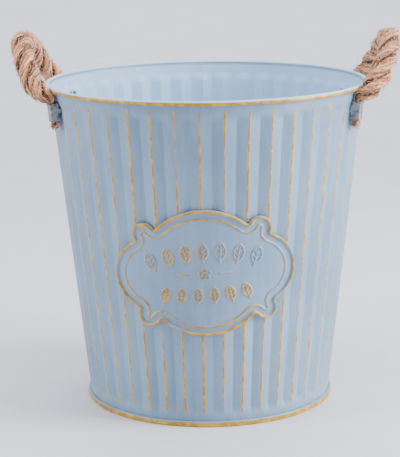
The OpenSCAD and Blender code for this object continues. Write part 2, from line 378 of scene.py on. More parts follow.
def noise(tree, place, scale, stretch=(1, 1, 1), detail=2.0, start=(0, 0, 0)):
    """Soft random pattern on the piece, from about 0.3 to 0.7."""
    moved = put(tree, "ShaderNodeMapping", {"Vector": place, "Scale": stretch, "Location": start})
    made = put(tree, "ShaderNodeTexNoise",
               {"Vector": moved.outputs[0], "Scale": scale, "Detail": detail, "Roughness": 0.55})
    return Output(tree, made.outputs[0])


def mix_colours(tree, share, first, second):
    """Mixes two colours by a share from 0 to 1."""
    return put(tree, "ShaderNodeMix", {0: share, 6: first, 7: second}, data_type="RGBA").outputs[2]


def bumped(tree, height, distance, strength):
    """Turns a pattern into small bumps, for a shader's normal."""
    values = {"Height": height, "Distance": distance, "Strength": strength}
    return put(tree, "ShaderNodeBump", values).outputs[0]


def read(tree, name):
    """A number stored on the mesh."""
    return Output(tree, put(tree, "ShaderNodeAttribute", attribute_name=name).outputs["Fac"])


def polar(tree, place):
    """Distance from the bucket's axis, and height."""
    parts = put(tree, "ShaderNodeSeparateXYZ", {0: place})
    x, y, z = (Output(tree, socket) for socket in parts.outputs)
    return calc(tree, "SQRT", x * x + y * y), z

# %% [markdown]
# The recipe itself: two tones of blue in clouds and brushed streaks, two tones of gold under them, and the
# wear mask between the two. The blue stands a little over the gold, so its edge catches the light.

# %% Worn paint recipe
def worn_paint(name, find_wear, has_inside=False):
    """Blue paint rubbed through to gold where find_wear says; an inside is duller and painted paler as
    painted light, and the rim bead's top gets a painted highlight.
    """
    material, tree, shader, place = start_finish(name)
    wear = find_wear(tree, place)
    clouds = ramp(tree, noise(tree, place, 11, detail=3), 0.32, 0.68)
    streaks = ramp(tree, noise(tree, place, 150, stretch=(1, 1, 0.06), start=(3, 1, 0)), 0.3, 0.7)
    speckle = noise(tree, place, 700, detail=2)
    blue = mix_colours(tree, clouds * 0.6 + streaks * 0.4, BLUE_DEEP, BLUE_PALE)
    rough = ramp(tree, clouds * 0.5 + speckle, 0.3, 1.2, 0.36, 0.5)
    if has_inside:
        # painted light: the inside gets the paler blue so that it looks brighter, and it is also made duller
        inside = 1.0 - read(tree, "outside")
        # painted highlight: a pale band along the top of the rim's bead
        rim_painted_highlight = ramp(tree, polar(tree, place)[1], WIRE_Z + 0.5 * MM, WIRE_Z + 1.4 * MM)
        blue = mix_colours(tree, calc(tree, "MAXIMUM", inside, rim_painted_highlight), blue, BLUE_PAINTED_LIGHT)
        rough = rough + inside * 0.3
    patches = ramp(tree, noise(tree, place, 160, detail=4), 0.38, 0.62)
    gold = mix_colours(tree, patches, GOLD_DEEP, GOLD_PALE)
    fill(tree, shader, {"Base Color": mix_colours(tree, wear, blue, gold), "Metallic": wear * 0.2,
                        "Roughness": rough,
                        "Normal": bumped(tree, speckle * 0.5 - wear * 0.6, 0.03 * MM, 0.6)})
    return material

# %% [markdown]
# ### Where the wall is worn
# On the pleats the gold shows as a thin line along each crest, stronger here and weaker there. The rim's
# bead is worn from a little above its outermost line down to its underside, and its top gets a painted
# highlight in the same pale blue that is painted on the inside. A few blotches sit in the plain bands past
# the pleats' ends. The mesh brings the distance from the nearest crest, so the lines follow the pleats
# exactly.

# %% Wall finish
def wall_wear(tree, place):
    """Gold along the crests, in blotches in the plain bands, and on the rim's bead."""
    radius, z = polar(tree, place)

    def height_fade(start, end):
        return ramp(tree, z, start * MM, end * MM)

    # Lines along the crests: each rib has its own strong and weak places
    lane = put(tree, "ShaderNodeCombineXYZ", {0: read(tree, "rib") * 7.31, 1: z * 26, 2: 0.5}).outputs[0]
    strength = put(tree, "ShaderNodeTexNoise",
                   {"Vector": lane, "Scale": 1.0, "Detail": 2.0, "Roughness": 0.6})
    strength = ramp(tree, strength.outputs[0], 0.3, 0.7)
    fine = noise(tree, place, 420, stretch=(1, 1, 0.35), detail=3)
    half_width = strength * (0.5 * MM) + fine * (1.15 * MM)
    line = (ramp(tree, half_width - read(tree, "from_crest"), -0.25 * MM, 0.3 * MM)
            * ramp(tree, strength, 0.0, 0.35, 0.6, 1.0) * height_fade(9, 14) * height_fade(273.5, 269.5))

    # Blotches in the plain bands and at the ends of the pleats
    patch = noise(tree, place, 75, detail=4, start=(0.4, 0.2, 0))
    bands = height_fade(256, 266) * height_fade(275, 271) * 0.9 + height_fade(6, 9) * height_fade(22, 13)
    blotch = ramp(tree, patch, 0.6, 0.7) * (bands * 0.75)

    # The rim's bead, from a little above its outermost line downwards
    turn = calc(tree, "ARCTAN2", z - WIRE_Z, radius - WIRE_RING)
    ragged = (noise(tree, place, 45, detail=4) - 0.5) * 0.9
    bead = (ramp(tree, turn + ragged, 0.55, 0.25) * ramp(tree, turn, -1.9, -1.5)
            * ramp(tree, radius, WIRE_RING + 0.2 * MM, WIRE_RING + 0.8 * MM)
            * ramp(tree, z, WIRE_Z - 2.3 * MM, WIRE_Z - 2.0 * MM))
    on_wall = calc(tree, "MAXIMUM", line, blotch) * read(tree, "outside")
    return calc(tree, "MAXIMUM", on_wall, bead)


WALL_PAINT = worn_paint("wall_paint", wall_wear, has_inside=True)
print("made", WALL_PAINT.name)

# %% [markdown]
# ### Where the foot and the plate are worn
# The foot's seam is worn in a band round its lower half, where it is dragged and knocked. The plate's mesh
# brings its own wear value: high on its border bead, on the inner line and on the raised motif.

# %% Foot and plate finishes
def foot_wear(tree, place):
    """Gold in a ragged band round the foot's bead."""
    radius, z = polar(tree, place)
    ragged = (noise(tree, place, 60, detail=4) - 0.5) * (1.8 * MM)
    band = ramp(tree, z + ragged, 4.5 * MM, 3.5 * MM)
    return band * ramp(tree, radius, FOOT_R - 1.4 * MM, FOOT_R - 0.9 * MM)


def plate_wear(tree, place):
    """Gold on the plate's raised lines, and faint stains between them."""
    grain = noise(tree, place, 500, detail=3) - 0.5
    rubbed = ramp(tree, noise(tree, place, 28, detail=3), 0.36, 0.6) + grain
    lines = ramp(tree, read(tree, "worn") + rubbed * 0.35, 0.55, 0.95)
    stain = ramp(tree, noise(tree, place, 55, detail=5), 0.62, 0.72) * 0.25
    return calc(tree, "MAXIMUM", lines, stain)


FOOT_PAINT = worn_paint("foot_paint", foot_wear)
PLATE_PAINT = worn_paint("plate_paint", plate_wear)
print("made", FOOT_PAINT.name, "and", PLATE_PAINT.name)

# %% [markdown]
# ### Steel and rope
# The clips are dull zinc-coated steel, with the cloudy patches that zinc makes. The rope is a coarse plant
# fibre: its colour runs in fine streaks along the strands, light where fibres catch the light, and painted
# shade darkens the valleys between strands. The streaks follow the rope's own map, which runs along each
# strand.

# %% Steel finish
STEEL_DARK = (0.05, 0.051, 0.053, 1)
STEEL_PALE = (0.36, 0.365, 0.37, 1)


def zinc(name):
    """Dull steel with the cloudy flakes of a zinc coat."""
    material, tree, shader, place = start_finish(name)
    flakes = put(tree, "ShaderNodeTexVoronoi", {"Vector": place, "Scale": 260.0}).outputs["Distance"]
    clouds = noise(tree, place, 120, detail=3)
    cloudy = Output(tree, flakes) * 0.5 + clouds
    colour = mix_colours(tree, ramp(tree, cloudy, 0.4, 0.9), STEEL_DARK, STEEL_PALE)
    fill(tree, shader, {"Base Color": colour, "Roughness": ramp(tree, cloudy, 0.4, 0.9, 0.28, 0.46),
                        "Metallic": 0.9, "Normal": bumped(tree, clouds, 0.05 * MM, 0.4)})
    return material


CLIP_STEEL = zinc("clip_steel")
WIRE_STEEL = zinc("wire_steel")
print("made", CLIP_STEEL.name, "and", WIRE_STEEL.name)

# %% [markdown]
# The rope's streaks are noise stretched along each strand. The loose fibres are too thin for streaks, so
# they are only lighter here and darker there.

# %% Rope finish
ROPE_DARK = (0.055, 0.018, 0.008, 1)
ROPE_MID = (0.58, 0.24, 0.12, 1)
ROPE_LIGHT = (0.98, 0.57, 0.35, 1)
FIBRE_DARK = (0.16, 0.055, 0.025, 1)
FIBRE_LIGHT = (0.98, 0.64, 0.41, 1)


def rope_finish():
    """Streaks along the strands, with painted shade in the valleys between them."""
    material, tree, shader, _ = start_finish("rope_fibre")
    strand_map = put(tree, "ShaderNodeUVMap", uv_map="strand").outputs[0]
    streak = noise(tree, strand_map, 1.0, stretch=(70, 560, 1), detail=4)
    broad = noise(tree, strand_map, 1.0, stretch=(30, 260, 1), detail=2, start=(5, 3, 0))
    light = ramp(tree, streak, 0.38, 0.62) * 0.85 + ramp(tree, broad, 0.35, 0.65) * 0.4
    # painted shade: the valleys between strands and yarns darken the colour
    light = light - read(tree, "valley") * 1.05
    dark_half = mix_colours(tree, ramp(tree, light, -0.1, 0.4, smooth=False), ROPE_DARK, ROPE_MID)
    colour = mix_colours(tree, ramp(tree, light, 0.4, 1.1, smooth=False), dark_half, ROPE_LIGHT)
    fill(tree, shader, {"Base Color": colour, "Roughness": ramp(tree, streak, 0.3, 0.7, 0.75, 0.95),
                        "Normal": bumped(tree, streak, 0.9 * MM, 0.9),
                        "Sheen Weight": 0.25, "Specular IOR Level": 0.25})
    return material


def fibre_finish():
    """Loose fibres, some light and some dark."""
    material, tree, shader, place = start_finish("loose_fibre")
    tone = ramp(tree, noise(tree, place, 450, detail=1), 0.38, 0.62)
    fill(tree, shader, {"Base Color": mix_colours(tree, tone, FIBRE_DARK, FIBRE_LIGHT),
                        "Roughness": ramp(tree, tone, 0, 1, 0.7, 0.9), "Specular IOR Level": 0.25})
    return material


ROPE_FIBRE = rope_finish()
LOOSE_FIBRE = fibre_finish()
print("made", ROPE_FIBRE.name, "and", LOOSE_FIBRE.name)

# %% [markdown]
# ## The pleated wall
# On the real bucket this is one sheet: pressed into V pleats, rolled into a cone, lapped at the rear, and
# its top edge rolled outwards over a wire. The section below is drawn once, up the outside, round the
# wire and down the inside. A Geometry Nodes tree then carries it round the axis and presses the pleats in,
# because their shape follows a rule: deepest in the valleys, fading out into a plain band at each end.

# %% Section of the rolled sheet
RIB_COUNT = 42
COLUMNS_PER_RIB = 14
RIB_DEPTH = 2.4 * MM
FIRST_CREST = math.radians(-91)
PLEATS = (9 * MM, 270 * MM)
PLEAT_FADE = 8 * MM


def rolled_section():
    """Closed section of the sheet as (radius, height), and how many points are on the outside."""
    heights = [1, 4, 7, 9, 10, 11, 12, 13, 14, 15, 16, 17.2]
    heights += list(np.linspace(27, 253, 14)) + [261, 262, 263, 264, 265, 266, 267, 268, 269, 270, 273, 275.5]
    heights = [h * MM for h in heights]
    outside = [(crest_radius(z), z) for z in heights]
    arc = [(WIRE_RING + CURL_IN * math.cos(t), WIRE_Z + CURL_IN * math.sin(t))
           for t in np.radians(np.linspace(180, -138, 16))]
    back = [(WIRE_RING + CURL_OUT * math.cos(t), WIRE_Z + CURL_OUT * math.sin(t))
            for t in np.radians(np.linspace(-140, 180, 26))]
    inside = [(r - SHEET, z) for r, z in reversed(outside)]
    return outside + arc + back + inside, len(outside) + len(arc) + len(back)


section, outside_rows = rolled_section()
sheet_section = new_mesh_object("sheet_section", [(r, 0, z) for r, z in section], [])
print("the sheet's section has", len(section), "points")

# %% [markdown]
# ### Rolling the section
# The tree starts with a grid: one row for each point of the section, one column for each step round. It has
# no points of its own to move yet, so every grid point looks up its radius and height in the section.

# %% Tree that rolls and pleats the sheet
CROWDING = 0.8          # how much the columns crowd at the bends, from 0 to 1
BEND_SHARE = 0.055      # size of the round bends, as a share of half a rib
LAP_STEP = 0.0035       # turn over which the lap's edge rises, in radians
LAP_EASE = (0.02, 0.10)  # turn over which it eases back
wall_tree, given = start_shape_tree("roll_and_pleat", {
    "Ribs": "Int", "Columns per rib": "Int", "Rib depth": "Float", "First crest": "Float",
    "Pleats start": "Float", "Pleats end": "Float", "Fade": "Float", "Outside rows": "Int",
    "Lap turn": "Float", "Lap rise": "Float", "Unevenness": "Float", "Seed": "Int", "Finish": "Material"})
in_wall, wall_output, wall_ramp = (partial(job, wall_tree) for job in (put, Output, ramp))

# A grid of one column per step round and one row per section point; the last of each meets the first
counted = in_wall("GeometryNodeAttributeDomainSize", {"Geometry": given["Geometry"]})
rows = wall_output(counted.outputs["Point Count"])
rows_up = rows + 1
columns = given["Ribs"] * given["Columns per rib"]
grid = in_wall("GeometryNodeMeshGrid", {"Size X": 1.0, "Size Y": 1.0, "Vertices X": columns + 1,
                                        "Vertices Y": rows_up}).outputs["Mesh"]
index = wall_output(in_wall("GeometryNodeInputIndex").outputs[0])
column = ((index + 0.5) / rows_up).then("FLOOR")
row = (index - column * rows_up + 0.01).then("MODULO", rows)
spot = in_wall("GeometryNodeSampleIndex",
               {"Geometry": given["Geometry"], "Index": row.then("FLOOR"),
                "Value": in_wall("GeometryNodeInputPosition").outputs[0]}, data_type="FLOAT_VECTOR")
spot_parts = in_wall("ShaderNodeSeparateXYZ", {0: spot.outputs[0]}).outputs
section_r, section_z = wall_output(spot_parts[0]), wall_output(spot_parts[2])
print("the tree has", len(wall_tree.nodes), "nodes so far")

# %% [markdown]
# ### Pressing the pleats
# Each column belongs to a rib and lies a certain share across it. Columns crowd at the crests and valleys,
# where the sheet bends, so that the bends look round and the flats between them need few faces.

# %% Pleats across a rib
across = column.then("MODULO", columns) / given["Columns per rib"]
rib = (across + 0.001).then("FLOOR")
share = across - rib
share = share - (share * (4 * math.pi)).then("SINE") * (CROWDING / (4 * math.pi))
rib_turn = calc(wall_tree, "DIVIDE", 2 * math.pi, given["Ribs"])
angle = (rib + share) * rib_turn + given["First crest"]
to_valley = share.then("PINGPONG", 0.5) * 2.0
from_valley = 1.0 - to_valley

# The V profile has small round bends, and its depth is a little different from rib to rib
crest_side = (to_valley * to_valley + BEND_SHARE * BEND_SHARE).then("SQRT")
valley_side = (from_valley * from_valley + BEND_SHARE * BEND_SHARE).then("SQRT")
profile = (crest_side - valley_side).then("MULTIPLY_ADD", 0.5, 0.5)
chance = in_wall("ShaderNodeTexWhiteNoise", {"W": rib + given["Seed"]}, noise_dimensions="1D")
unevenness = (wall_output(chance.outputs["Value"]) - 0.5) * given["Unevenness"]
low_fade = wall_ramp(section_z, given["Pleats start"], given["Pleats start"] + given["Fade"])
high_fade = wall_ramp(section_z, given["Pleats end"], given["Pleats end"] - given["Fade"])
depth = low_fade * high_fade * (given["Rib depth"] + unevenness)
pressed = section_r - depth * profile
print("with pleats it has", len(wall_tree.nodes))

# %% [markdown]
# ### The lap joint
# A rolled sheet has to be joined somewhere, and here it is at the rear: the upper layer ends in a step and
# eases back over half a rib. It stops short of the rim and the foot, which are folded over it.

# %% Lap joint, and the wall itself
past_lap = angle - given["Lap turn"]
step_up = wall_ramp(past_lap, -LAP_STEP, 0.0)
ease_back = wall_ramp(past_lap, LAP_EASE[1], LAP_EASE[0])
below_rim = wall_ramp(section_z, 274.5 * MM, 272 * MM)
above_foot = wall_ramp(section_z, 6 * MM, 9 * MM)
radius = pressed + step_up * ease_back * (below_rim * given["Lap rise"]) * above_foot

placed = in_wall("ShaderNodeCombineXYZ", {0: radius * angle.then("COSINE"), 1: radius * angle.then("SINE"),
                                          2: section_z}).outputs[0]
rolled = in_wall("GeometryNodeSetPosition", {"Geometry": grid, "Position": placed}).outputs[0]
for_finish = {"from_crest": to_valley * (rib_turn * 0.5) * radius, "rib": (rib + share + 0.5).then("FLOOR"),
              "outside": row.then("LESS_THAN", given["Outside rows"])}
for label, value in for_finish.items():
    rolled = in_wall("GeometryNodeStoreNamedAttribute", {"Geometry": rolled, "Name": label, "Value": value},
                     data_type="FLOAT", domain="POINT").outputs[0]
closed = in_wall("GeometryNodeMergeByDistance", {"Geometry": rolled, "Distance": 0.004 * MM}).outputs[0]
shaded = in_wall("GeometryNodeSetShadeSmooth", {"Geometry": closed}).outputs[0]
end_shape_tree(wall_tree, shaded, given["Finish"])

wall = run_shape_tree(wall_tree, sheet_section, {
    "Ribs": RIB_COUNT, "Columns per rib": COLUMNS_PER_RIB, "Rib depth": RIB_DEPTH,
    "First crest": FIRST_CREST, "Pleats start": PLEATS[0], "Pleats end": PLEATS[1], "Fade": PLEAT_FADE,
    "Outside rows": outside_rows, "Lap turn": math.radians(93.3), "Lap rise": SHEET * 0.8,
    "Unevenness": 0.5 * MM, "Seed": 11, "Finish": WALL_PAINT}, "pleated_wall")
drop(sheet_section)
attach(wall, "bucket")
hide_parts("wall")

# %% [markdown]
# ## The rim's wire
# The wire inside the rolled rim is a plain steel ring. It can hardly be seen, so the solid model's own
# ring stays and only gets its steel finish.

# %% Rim wire
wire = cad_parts["rim_wire"]
wire.data.materials.clear()
wire.data.materials.append(WIRE_STEEL)
print("the wire is a ring", round(WIRE_RING / MM, 1), "mm in radius")

# %% [markdown]
# ## Base pan and seamed foot
# The base is a shallow pressed pan. Its edge is folded round the wall's lower edge, which makes the raised
# foot ring. A round piece like this is quickest as one section turned about the axis. The floor has two
# shallow pressed rings, which stiffen a real pail's base and stop it from booming.

# %% Turning a section
def turned(name, outline, columns, finish):
    """Turns a closed section of (radius, height) points, in mm, about the axis."""
    work = bmesh.new()
    rings = []
    for r, z in outline:
        if r == 0:
            rings.append([work.verts.new((0, 0, z * MM))])
        else:
            rings.append([work.verts.new((r * MM * math.cos(t), r * MM * math.sin(t), z * MM))
                          for t in np.linspace(0, 2 * math.pi, columns, endpoint=False)])
    for a, b in zip(rings, rings[1:]):
        for i in range(columns):
            k = (i + 1) % columns
            corners = [a[i % len(a)], a[k % len(a)], b[k % len(b)], b[i % len(b)]]
            work.faces.new(list(dict.fromkeys(corners)))
    bmesh.ops.recalc_face_normals(work, faces=work.faces)
    mesh = bpy.data.meshes.new(name)
    work.to_mesh(mesh)
    work.free()
    print(name, "has", len(mesh.polygons), "faces")
    return smooth_object(name, mesh, finish)


def arc(cx, cz, radius, start, end, steps=5):
    """Points on an arc, angles in degrees."""
    return [(cx + radius * math.cos(t), cz + radius * math.sin(t))
            for t in np.radians(np.linspace(start, end, steps))]

# %% [markdown]
# The section goes once round the whole pan: out along the floor, over the flange that stands inside the wall,
# down and up the channel that holds the wall's edge, round the foot's bead, and back under the floor.

# %% Base pan
def pan_section():
    """Section of the base: floor, flange inside the wall, channel for the wall, and the foot's bead."""
    floor, under, top = 3.5, 3.0, 5.0
    in_r, out_r = WALL_FOOT_R / MM - 0.7, FOOT_R / MM
    upper = [(0, floor), (44, floor), (45.5, floor + 0.2), (47, floor + 0.7), (50, floor + 0.8),
             (53, floor + 0.7), (54.5, floor + 0.2), (56, floor), (84, floor), (85.2, floor + 0.2),
             (86.4, floor + 0.7), (88.5, floor + 0.8), (90.6, floor + 0.7), (91.8, floor + 0.2),
             (93, floor), (103.7, floor)]
    flange = arc(103.7, floor + 0.9, 0.9, -90, 0, 5)[1:] + arc(in_r - 0.5, top - 0.5, 0.5, 180, 0, 7)
    channel = [(in_r, 0.95), (crest_radius(0.95 * MM) / MM + 0.1, 0.95),
               (crest_radius(4.6 * MM) / MM + 0.1, 4.6)]
    bead = (arc(107.3, 4.5, 0.5, 180, 90, 4) + arc(out_r - 1.6, 3.4, 1.6, 90, 0, 8)
            + [(out_r, 2.5)] + arc(out_r - 1.4, 1.4, 1.4, 0, -90, 8))
    heel = [(in_r - 0.3, 0)] + arc(in_r - 0.6, 0.6, 0.6, -90, -180, 4)[1:]
    lower = [(in_r - 1.2, under - 0.4)] + arc(in_r - 1.8, under - 0.6, 0.6, 0, 90, 4)
    lower += [(91, under), (88.5, under + 0.4), (86, under), (54, under), (50, under + 0.4),
              (46, under), (0, under)]
    return upper + flange + channel + bead + heel + lower


base = turned("base_pan_seamed", pan_section(), 240, FOOT_PAINT)
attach(base, "bucket")
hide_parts("base_pan")

# %% [markdown]
# ## The label plate
# The plate is stamped from thin sheet: a border bead, an inner line and a raised motif, all pressed up from
# behind, and it is bent round the wall. A stamping is a height at each place, so the mesh is a fine flat
# grid cut to the outline, lifted by a height rule, and then bent on to the pleats' crests. The motif is a
# made-up one: an arched row of leaves, a small flower between two bars, and a shorter row of leaves.

# %% Outline of the plate
PLATE_Z = 136 * MM
PLATE_TILT = math.radians(3.6)
PLATE_CIRCLES = ([(0, 0, 54.5)] + [(s * 40.7, 0, 32.9) for s in (-1, 1)]
                 + [(sx * 47.2, sy * 35, 9.8) for sx in (-1, 1) for sy in (-1, 1)])


def outline_value(p, soften=1.5):
    """Below zero inside the plate's outline, which is several circles run together."""
    value = None
    for x, y, r in PLATE_CIRCLES:
        circle = np.hypot(p[:, 0] - x, p[:, 1] - y) - r
        if value is None:
            value = circle
        else:
            lap = np.clip(soften - np.abs(value - circle), 0, None)
            value = np.minimum(value, circle) - lap ** 2 / (4 * soften)
    return value


def to_outline(p, rounds=6):
    """Moves points on to the outline."""
    for _ in range(rounds):
        here = outline_value(p)
        slope = np.stack([(outline_value(p + d) - here) / 0.01 for d in ((0.01, 0), (0, 0.01))], 1)
        p = p - slope * (here / np.maximum((slope ** 2).sum(1), 0.2))[:, None]
    return p


def outline_points():
    """Points spread closely all along the outline."""
    found = []
    for x, y, r in PLATE_CIRCLES:
        turn = np.arange(0, 2 * np.pi, 0.35 / r)
        ring = np.stack([x + r * np.cos(turn), y + r * np.sin(turn)], 1)
        found.append(ring[np.abs(outline_value(ring)) < 1.3])
    return to_outline(np.concatenate(found))


edge_points = outline_points()
print("the plate is", np.round(edge_points.max(0) - edge_points.min(0), 1), "mm,",
      len(edge_points), "points on its outline")

# %% [markdown]
# ### Height rule
# Each raised thing has a rule that gives the distance from its middle line, and a rounded ridge is laid
# along it. Leaves are drawn as the outline of two equal arcs, with a mid vein. Keeping the rules apart makes
# it easy to move a leaf or to give a line another width.

# %% Height rules
def ridge(distance, width, height):
    """A rounded ridge of a given width and height along a line."""
    return height * np.clip(1 - (distance / (width / 2)) ** 2, 0, 1) ** 0.75


def stroke(p, a, b):
    """Distance from a straight stroke between two points."""
    a, b = np.array(a, float), np.array(b, float)
    along = np.clip(((p - a) @ (b - a)) / ((b - a) @ (b - a)), 0, 1)
    return np.hypot(*(p - a - along[:, None] * (b - a)).T)


def leaf_lines(p, place, turn, length, width):
    """Distance from the nearest line of a leaf: its outline or one of its veins."""
    c, s = math.cos(math.radians(turn)), math.sin(math.radians(turn))
    q = (p - place) @ np.array([[c, -s], [s, c]])
    arc_r = (length ** 2 + width ** 2) / (4 * width)
    inside = np.maximum(*(np.hypot(q[:, 0], q[:, 1] - k * (arc_r - width / 2)) - arc_r for k in (-1, 1)))
    veins = [stroke(q, (-length * 0.62, 0), (length * 0.3, 0))]
    veins += [stroke(q, (length * k, 0), (length * (k + 0.17), side * width * 0.3))
              for k in (-0.22, 0.06) for side in (-1, 1)]
    return np.minimum(np.abs(inside + 0.45), np.min(veins, axis=0))

# %% [markdown]
# The motif and the plate's own lines are put together next. The higher of two ridges wins, as it does where
# two punches meet. The paint is rubbed most on what stands highest.

# %% Motif and stamping
def motif_lines(p):
    """Distance from the nearest line of the whole motif."""
    lines = []
    for u in (-1, -0.67, -0.33, 0, 0.33, 0.67, 1):
        lines.append(leaf_lines(p, (u * 43, 7 * (1 - u * u) + 12), 90 - 22 * u, 15, 9))
    for u in (-1, -0.6, -0.2, 0.2, 0.6, 1):
        lines.append(leaf_lines(p, (u * 33, u * u - 18), 90 + 16 * u, 13, 8))
    for i in range(5):
        t = math.radians(90 + 72 * i)
        petal = np.hypot(p[:, 0] - 3.4 * math.cos(t), p[:, 1] - 3.4 * math.sin(t))
        lines.append(np.abs(petal - 1.7))
    for side in (-1, 1):
        lines.append(stroke(p, (side * 17 - 4.6, 0), (side * 17 + 4.6, 0)))
    return np.min(lines, axis=0)


BEAD_H, INNER_H, MOTIF_H = 2.05, 0.95, 0.9
# Where the border bead is rubbed most: turn round the plate and spread in degrees, and how much
RUBBED_PLACES = [(95, 42, 1.0), (150, 20, 0.8), (208, 30, 0.9), (285, 40, 0.9), (318, 10, 0.7), (32, 12, 0.9)]


def stamped_height(p, inset):
    """Height of the plate's face above the crests, in mm, and how far its paint is rubbed, 0 to 1."""
    edge_drop = 0.62 * np.clip(1 - inset / 0.9, 0, 1) ** 2
    bead = ridge(inset - 1.55, 2.9, BEAD_H)
    inner = ridge(inset - 7.9, 1.9, INNER_H)
    motif = ridge(motif_lines(p), 1.4, MOTIF_H)
    crown = 0.35 * np.clip((inset - 9) / 30, 0, 1) ** 0.5
    height = 0.92 - edge_drop + np.maximum(np.maximum(bead, inner), motif) + crown
    turn = np.degrees(np.arctan2(p[:, 1], p[:, 0]))
    often = np.max([much * np.exp(-(((turn - middle + 180) % 360 - 180) / spread) ** 2)
                    for middle, spread, much in RUBBED_PLACES], axis=0)
    rubbed = np.maximum(bead / BEAD_H * (0.6 + 0.5 * often) * (inset > 0.4),
                        inner / INNER_H * (0.62 + 0.3 * often))
    faded = 0.86 - 0.16 * np.clip(p[:, 0] / 50, -0.6, 1)
    return height, np.maximum(rubbed, motif / MOTIF_H * faded)

# %% [markdown]
# ### Cut, lift and bend
# The grid's squares whose middles lie inside are kept, and their outer points are moved on to the outline.
# The same grid a sheet's thickness lower makes the back, and a strip of faces joins the two at the edge.

# %% Cut and bend
PLATE_STEP = 0.56
PLATE_SHEET = 0.75


def cut_grid(step):
    """Flat grid points and squares inside the outline, and its edge in order round."""
    nx, ny = int(76 / step), int(57 / step)
    xs, ys = np.arange(-nx, nx + 1) * step, np.arange(-ny, ny + 1) * step
    middles = np.stack(np.meshgrid((xs[:-1] + xs[1:]) / 2, (ys[:-1] + ys[1:]) / 2, indexing="ij"), -1)
    keep = outline_value(middles.reshape(-1, 2)).reshape(middles.shape[:2]) < 0
    i, j = np.nonzero(keep)
    wide = len(ys)
    squares = np.stack([i * wide + j, (i + 1) * wide + j, (i + 1) * wide + j + 1, i * wide + j + 1], 1)
    used, squares = np.unique(squares, return_inverse=True)
    squares = squares.reshape(-1, 4)
    points = np.stack([xs[used // wide], ys[used % wide]], 1)
    sides = np.concatenate([squares[:, [k, (k + 1) % 4]] for k in range(4)])
    known = set(map(tuple, sides))
    edge = [(a, b) for a, b in known if (b, a) not in known]
    on_edge = np.unique(np.array(edge).ravel())
    points[on_edge] = to_outline(points[on_edge])
    return points, squares, edge


def on_crests(p, height):
    """Bends flat plate points on to the wall: tilted, then pushed back on to the crests' cone."""
    c, s = math.cos(PLATE_TILT), math.sin(PLATE_TILT)
    x = (p[:, 0] * c - p[:, 1] * s) * MM
    z = (p[:, 0] * s + p[:, 1] * c) * MM + PLATE_Z
    lift = height * MM / math.cos(WALL_LEAN)
    r = crest_radius(z) + lift
    # a place is kept at its distance round the wall's surface at the crests
    x = x * r / crest_radius(z)
    return np.stack([x, -np.sqrt(r ** 2 - x ** 2), z], 1)

# %% [markdown]
# How far a point lies from the edge is looked up among the outline's points, and the height rule needs
# nothing else but its place.

# %% Label plate
flat, squares, edge = cut_grid(PLATE_STEP)
tree_of_edge = kdtree.KDTree(len(edge_points))
for i, p in enumerate(edge_points):
    tree_of_edge.insert((p[0], p[1], 0), i)
tree_of_edge.balance()
inset = np.array([tree_of_edge.find((p[0], p[1], 0))[2] for p in flat])
face_height, worn = stamped_height(flat, inset)
back_height = np.maximum(face_height - PLATE_SHEET, 0.12)
count = len(flat)
plate_points = np.concatenate([on_crests(flat, face_height), on_crests(flat, back_height)])
plate_faces = ([tuple(q) for q in squares] + [tuple(q[::-1] + count) for q in squares]
               + [(b, a, a + count, b + count) for a, b in edge])
plate = new_mesh_object("label_plate_stamped", plate_points, [tuple(map(int, f)) for f in plate_faces],
                        PLATE_PAINT)
store(plate.data, "worn", np.r_[worn, worn * 0])
print("label plate has", len(plate.data.polygons), "faces")
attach(plate, "bucket")
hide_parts("label_plate")

# %% [markdown]
# ## Clips
# Each clip is one strip of zinc-coated steel, bent round the rope end. Its two narrow tabs pass through the
# wall and are folded flat inside. The strip is drawn as a path with a width at each point, and given its
# thickness and small rounded edges by two modifiers, as a bent strip has the same thickness everywhere.

# %% Path of the strip
CLIP_T = 0.8 * MM
CLIP_PLAY = 0.1 * MM
CHEEK = SQUEEZED_D / 2 + CLIP_PLAY + CLIP_T / 2
CLIP_FRONT = STANDOFF + CHEEK
TAB_HALF, STRAP_HALF = 2.5 * MM, CLIP_H / 2
FLARE = 0.3 * MM
print("a clip's front stands", round(CLIP_FRONT / MM, 1), "mm off the crests")


def strip_path():
    """Half of the strip's path, from the folded tab to the middle of the front, with half widths."""
    inner = -RIB_DEPTH - SHEET - 0.2 * MM - CLIP_T / 2
    tab = [(inner, 0.7 * MM), (inner, CHEEK - 0.6 * MM), (inner + 0.2 * MM, CHEEK - 0.15 * MM),
           (inner + 0.6 * MM, CHEEK), (0.05 * MM, CHEEK)]
    shoulder = [(0.14 * MM, CHEEK, STRAP_HALF - 0.3 * MM)]
    corner = 1.5 * MM
    strap = ([(x * MM, CHEEK) for x in (0.3, 1.5, 3, 4.5)]
             + arc(CLIP_FRONT - corner, CHEEK - corner, corner, 90, 0, 5)
             + [(CLIP_FRONT, 1.1 * MM), (CLIP_FRONT, 0.0)])
    return [(x, y, TAB_HALF) for x, y in tab] + shoulder + [(x, y, STRAP_HALF) for x, y in strap]

# %% [markdown]
# The half path is mirrored to make the whole strip, and the strip is put in its place on the wall before it
# gets its thickness.

# %% Make the clips
def bent_clip(name, side, end):
    """One clip, in its place on the wall."""
    half = strip_path()
    path = half + [(x, -y, w) for x, y, w in reversed(half[:-1])]
    across = np.linspace(-1, 1, 9)
    place = clip_frame(side, end)
    points = []
    for x, y, w in path:
        for v in across:
            # the strap's ends stand a little off the rope
            flare = FLARE * abs(v) ** 4 if w > 5 * MM and x > 1 * MM else 0
            points.append(place @ Vector((x + flare * (x > 7 * MM), y * (1 + flare / (4 * MM)), w * v)))
    made = new_mesh_object(name, points, quads(len(path), len(across), closed=False), CLIP_STEEL)
    thick = made.modifiers.new("thickness", "SOLIDIFY")
    thick.thickness, thick.offset = CLIP_T, 0
    edges = made.modifiers.new("edges", "BEVEL")
    edges.width, edges.segments = 0.18 * MM, 2
    edges.limit_method, edges.angle_limit = "ANGLE", math.radians(50)
    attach(made, "bucket")
    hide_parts(name.replace("_strap", ""))
    return made


